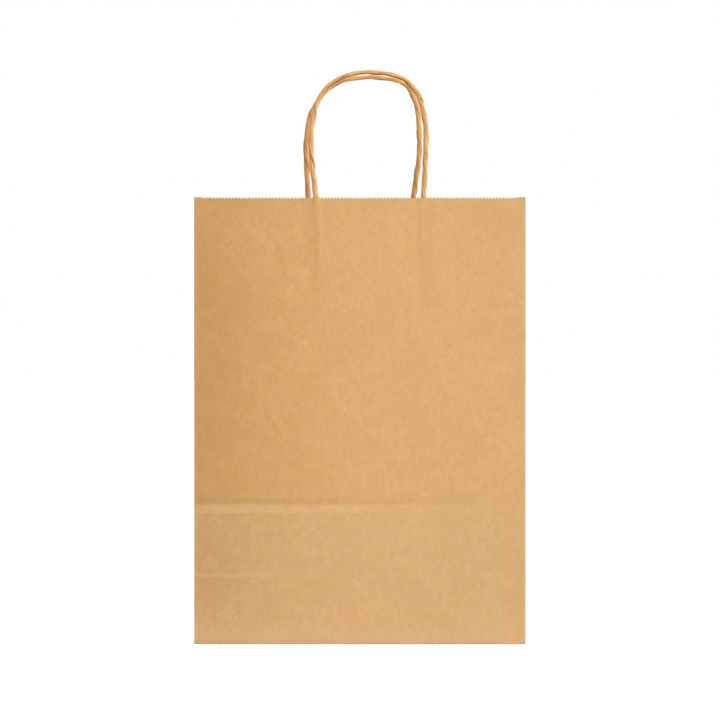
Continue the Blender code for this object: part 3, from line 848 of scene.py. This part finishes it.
def cord_section(turn, along, seed):
    """The twisted paper's radius, as a share, and painted shade along its laps and folds, at a place round it
    and along it.
    """
    draw = np.random.default_rng(seed)
    share = 1 + 0.050 * np.cos(2 * turn + 0.6) + 0.025 * np.cos(3 * turn + 1.7)
    share += 0.025 * np.sin(along * 2 * math.pi / 0.033 + draw.uniform(0, 6))
    lap = (turn / (2 * math.pi)) % 1.0
    share += 0.08 * (lap - 0.5)
    fold_shade = np.exp(-(np.minimum(lap, 1 - lap) / 0.026) ** 2)
    for _ in range(3):
        centre = draw.uniform(0.15, 0.85)
        wander = 0.05 * np.sin(along * 2 * math.pi / draw.uniform(0.03, 0.07) + draw.uniform(0, 6))
        presence = 0.5 + 0.5 * np.sin(along * 2 * math.pi / draw.uniform(0.025, 0.06) + draw.uniform(0, 6))
        off = np.abs((lap - centre - wander + 0.5) % 1.0 - 0.5)
        share = share - 0.035 * np.exp(-(off / 0.030) ** 2) * presence
        fold_shade = fold_shade + 0.7 * np.exp(-(off / 0.020) ** 2) * presence
    return share, fold_shade


# Painted shade along the underside of the front cord's crown, where two cords lying together shade each
# other: the angle round the cord, then the x where each begins, is full, fades and is gone.
CROWN_SHADE_LINES = (
    (3.95, -0.010, 0.002, 0.034, 0.043),
    (4.02, -0.0275, -0.0230, -0.0110, -0.0060),
)


def make_cord(name, end, arch, leg_bottom, nodes, seed):
    """One handle: up from the strips, round the arch, and down again. end is -1 in front, 1 behind."""
    arch_y = sum(c.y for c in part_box(nodes[0])) / 2
    leg_y = sum(c.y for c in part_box(nodes[1])) / 2
    leg_heights = np.linspace(leg_bottom - HEIGHT, 0.0, LEG_STEPS)[:-1]
    left_leg = [(arch[0][0], height) for height in leg_heights]
    right_leg = [(arch[-1][0], height) for height in leg_heights[::-1]]
    route, places = smooth_route(left_leg + arch + right_leg, RING_STEP)
    tangent = np.gradient(route, axis=0)
    tangent /= np.linalg.norm(tangent, axis=1)[:, None]
    normal = np.stack([-tangent[:, 1], tangent[:, 0]], axis=1)

    rings = len(route)
    angle = np.linspace(0, 2 * math.pi, RING_SIDES, endpoint=False)
    angle_grid, along_grid = np.meshgrid(angle, places)
    rate = 1 + 0.12 * np.sin(places / 0.04 + seed)
    twist = np.cumsum(np.concatenate([[0], np.diff(places)]) * rate) * 2 * math.pi / TWIST_PITCH + seed
    turn = angle_grid - twist[:, None]
    share, fold_shade = cord_section(turn, along_grid, seed)
    rise = route[:, 1]
    if end < 0:
        # Painted shade under the front cord's crown.
        for at, begin, full, fading, gone in CROWN_SHADE_LINES:
            over = smooth_step(route[:, 0], begin, full) * smooth_step(route[:, 0], gone, fading)
            over = over * (rise > 0.06)
            fold_shade = fold_shade + 2.2 * np.exp(-((angle_grid - at) / 0.30) ** 2) * over[:, None]
    crown = smooth_step(rise, 0.055, 0.082) * smooth_step(route[:, 0], 0.042, 0.028)
    radius = CORD_RADIUS * (1 - CROWN_THINNING * crown)
    flatten = smooth_step(rise, 0.004, -0.005)[:, None]
    flat_share = 1 + (share - 1) * 0.5
    radius_in_plane = radius[:, None] * share * (1 - flatten) + LEG_HALF_WIDTH * flat_share * flatten
    radius_out = radius[:, None] * share * (1 - flatten) + LEG_HALF_THICKNESS * flat_share * flatten
    # The front cord's outer side and the back cord's inner side keep to their line where they are thinner.
    aside = 0.00018 * np.sin(places / 0.011 + seed) * (rise > 0.004) - end * (CORD_RADIUS - radius)
    stand_out = bulge(end, route[:, 0], HEIGHT + rise) * smooth_step(rise, 0.060, 0.0)
    y_middle = arch_y + (leg_y - arch_y) * smooth_step(rise, 0.003, -0.006) + end * stand_out

    in_plane = np.cos(angle_grid) * radius_in_plane + aside[:, None]
    px = route[:, 0, None] + normal[:, 0, None] * in_plane
    pz = HEIGHT + rise[:, None] + normal[:, 1, None] * in_plane
    py = y_middle[:, None] + np.sin(angle_grid) * radius_out
    points = np.stack([px, py, pz], axis=2).reshape(-1, 3)

    faces = []
    for r in range(rings - 1):
        low, high = r * RING_SIDES, (r + 1) * RING_SIDES
        for i in range(RING_SIDES):
            j = (i + 1) % RING_SIDES
            faces.append((low + i, low + j, high + j, high + i))
    faces.append(tuple(reversed(range(RING_SIDES))))
    faces.append(tuple((rings - 1) * RING_SIDES + i for i in range(RING_SIDES)))
    mesh = bpy.data.meshes.new(name)
    mesh.from_pydata(points.tolist(), [], faces)
    uv = mesh.uv_layers.new(name="sheet")
    circumference = 2 * math.pi * CORD_RADIUS
    for polygon in mesh.polygons:
        first = mesh.loops[polygon.loop_start].vertex_index % RING_SIDES
        for loop in polygon.loop_indices:
            index = mesh.loops[loop].vertex_index
            ring, spot = divmod(index, RING_SIDES)
            if len(polygon.vertices) == 4 and spot == 0 and first != 0:
                spot = RING_SIDES
            u = (spot / RING_SIDES - twist[ring] / (2 * math.pi)) * circumference
            uv.data[loop].uv = (u, places[ring])
    paint_layer(mesh, "painted_shade_and_seam", fold_shade)
    mesh.materials.append(CORD_KRAFT)
    mesh.validate()
    mesh.shade_smooth()
    item = bpy.data.objects.new(name, mesh)
    bpy.context.scene.collection.objects.link(item)
    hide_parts(*nodes)
    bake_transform(item)
    return places[-1]


def make_strips(end_name, end, arch, panel_body):
    """The two strips that hold a handle: the backing on the panel, and the cover moulded over the cord."""
    low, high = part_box(f"{end_name}_handle_backing")
    backing_y = (low.y + high.y) / 2
    cover_low, cover_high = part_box(f"{end_name}_handle_cover")
    flat_y = cover_low.y + PAPER / 2 if end < 0 else cover_high.y - PAPER / 2
    inward = -end
    bump = (cover_high.y - cover_low.y) - PAPER

    def edge_wear(u, v):
        rim = np.minimum(np.minimum(u - low.x, high.x - u), np.minimum(v - low.z, high.z - v))
        return 0.7 * smooth_step(rim, 0.0010, 0.0)

    def backing_place(u, v):
        off = inward * ripples(u, v, 11, 0.03, 0.00004) + end * bulge(end, u, v)
        return u.copy(), backing_y + off, v.copy()

    def cover_place(u, v):
        lift = np.zeros_like(u)
        for x in (arch[0][0], arch[-1][0]):
            lift = np.maximum(lift, smooth_step(np.abs(u - x), 0.0058, 0.0021))
        pucker = ripples(u, v, 17, 0.012, 0.00010) * smooth_step(lift, 1.0, 0.5)
        off = inward * (lift * bump + np.abs(pucker)) + end * bulge(end, u, v)
        return u.copy(), flat_y + off, v.copy()

    columns = stations(low.x, high.x, 0.0012)
    rows = stations(low.z, high.z, 0.0018)
    for kind, place in (("backing", backing_place), ("cover", cover_place)):
        sheet = paper_sheet(f"{end_name}_handle_{kind}_strip", columns, rows, place, STRIP_KRAFT,
                            wear_and_highlight=edge_wear)
        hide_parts(f"{end_name}_handle_{kind}")
        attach(sheet, panel_body)


# ========================================= stage
CAMERA_DISTANCE = 15.0                     # far off with a long lens: hardly any perspective
VIEW_WIDTH = 0.5211                        # what the picture takes in at the front panel
CAMERA_HEIGHT = 0.2057
SENSOR_WIDTH = 36.0                        # millimetres
FLOOR_SIZE = 400.0
BACKDROP = 1.0                             # what the camera sees of the white surroundings
WORLD_LIGHT = 0.255
FLOOR_GLOW = 0.74                          # the camera sees a white floor with only a pale shadow on it
FLOOR_SEEN = 0.40
FLOOR_BOUNCE = 0.60                        # what the floor gives back to the bag
SUNS = [                                   # name, strength, softness in degrees, azimuth, elevation
    ("key", 3.65, 65.0, 59.0, 38.0),
    ("back", 1.9, 50.0, 222.0, 35.0),
    ("fill", 0.20, 60.0, -50.0, 30.0),
]


def grey(level):
    return (level, level, level, 1.0)


def make_stage():
    # Plain display colours, so that a material's colour is the paper's own and white stays white.
    bpy.context.scene.view_settings.view_transform = "Standard"
    world = bpy.data.worlds.new("studio")
    bpy.context.scene.world = world
    world.use_nodes = True
    tree = world.node_tree
    background = tree.nodes["Background"]
    path = tree.nodes.new("ShaderNodeLightPath")
    mix = tree.nodes.new("ShaderNodeMix")
    mix.data_type = "FLOAT"
    tree.links.new(path.outputs["Is Camera Ray"], mix.inputs["Factor"])
    mix.inputs["A"].default_value = WORLD_LIGHT
    mix.inputs["B"].default_value = BACKDROP
    tree.links.new(mix.outputs["Result"], background.inputs["Strength"])
    background.inputs["Color"].default_value = (1.0, 1.0, 1.0, 1.0)

    bpy.ops.mesh.primitive_plane_add(size=FLOOR_SIZE, location=(0, 0, -0.0001))
    floor = bpy.context.object
    floor.name = "floor"
    material = bpy.data.materials.new("pale_floor")
    material.use_nodes = True
    tree = material.node_tree
    tree.nodes.clear()
    output = tree.nodes.new("ShaderNodeOutputMaterial")
    bounce = tree.nodes.new("ShaderNodeBsdfDiffuse")
    bounce.inputs["Color"].default_value = grey(FLOOR_BOUNCE)
    seen = tree.nodes.new("ShaderNodeBsdfDiffuse")
    seen.inputs["Color"].default_value = grey(FLOOR_SEEN)
    glow = tree.nodes.new("ShaderNodeEmission")
    glow.inputs["Color"].default_value = grey(FLOOR_GLOW)
    both = tree.nodes.new("ShaderNodeAddShader")
    tree.links.new(seen.outputs["BSDF"], both.inputs[0])
    tree.links.new(glow.outputs["Emission"], both.inputs[1])
    path = tree.nodes.new("ShaderNodeLightPath")
    choice = tree.nodes.new("ShaderNodeMixShader")
    tree.links.new(path.outputs["Is Camera Ray"], choice.inputs["Fac"])
    tree.links.new(bounce.outputs["BSDF"], choice.inputs[1])
    tree.links.new(both.outputs["Shader"], choice.inputs[2])
    tree.links.new(choice.outputs["Shader"], output.inputs["Surface"])
    floor.data.materials.append(material)

    for name, energy, softness, azimuth, elevation in SUNS:
        lamp = bpy.data.lights.new(name, "SUN")
        lamp.energy = energy
        lamp.angle = math.radians(softness)
        item = bpy.data.objects.new(name, lamp)
        a, e = math.radians(azimuth), math.radians(elevation)
        toward = Vector((math.sin(a) * math.cos(e), -math.cos(a) * math.cos(e), math.sin(e)))
        item.rotation_mode = "QUATERNION"
        item.rotation_quaternion = toward.to_track_quat("Z", "Y")
        bpy.context.scene.collection.objects.link(item)

    camera = bpy.data.cameras.new("camera")
    camera.sensor_width = SENSOR_WIDTH
    camera.lens = SENSOR_WIDTH * CAMERA_DISTANCE / VIEW_WIDTH
    camera.clip_start = 0.1
    camera.clip_end = FLOOR_SIZE
    item = bpy.data.objects.new("camera", camera)
    item.location = (0.0, -HALF_DEPTH - CAMERA_DISTANCE, CAMERA_HEIGHT)
    item.rotation_euler = (math.pi / 2, 0.0, 0.0)
    bpy.context.scene.collection.objects.link(item)
    bpy.context.scene.camera = item


make_stage()
make_front()
make_back()
for SIDE_NAME, SIDE in (("left", -1), ("right", 1)):
    make_side(SIDE_NAME, SIDE)
make_bottom()
for END_NAME, END, ARCH, SEED in (("front", -1, FRONT_ARCH, 3), ("back", 1, BACK_ARCH, 8)):
    make_strips(END_NAME, END, ARCH, END_NAME)
    leg_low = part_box(f"{END_NAME}_handle_leg_left")[0].z
    length = make_cord(
        f"{END_NAME}_handle_cord", END, ARCH, leg_low,
        [f"{END_NAME}_handle", f"{END_NAME}_handle_leg_left", f"{END_NAME}_handle_leg_right"], SEED)
    print(END_NAME, "cord length", round(length, 4))
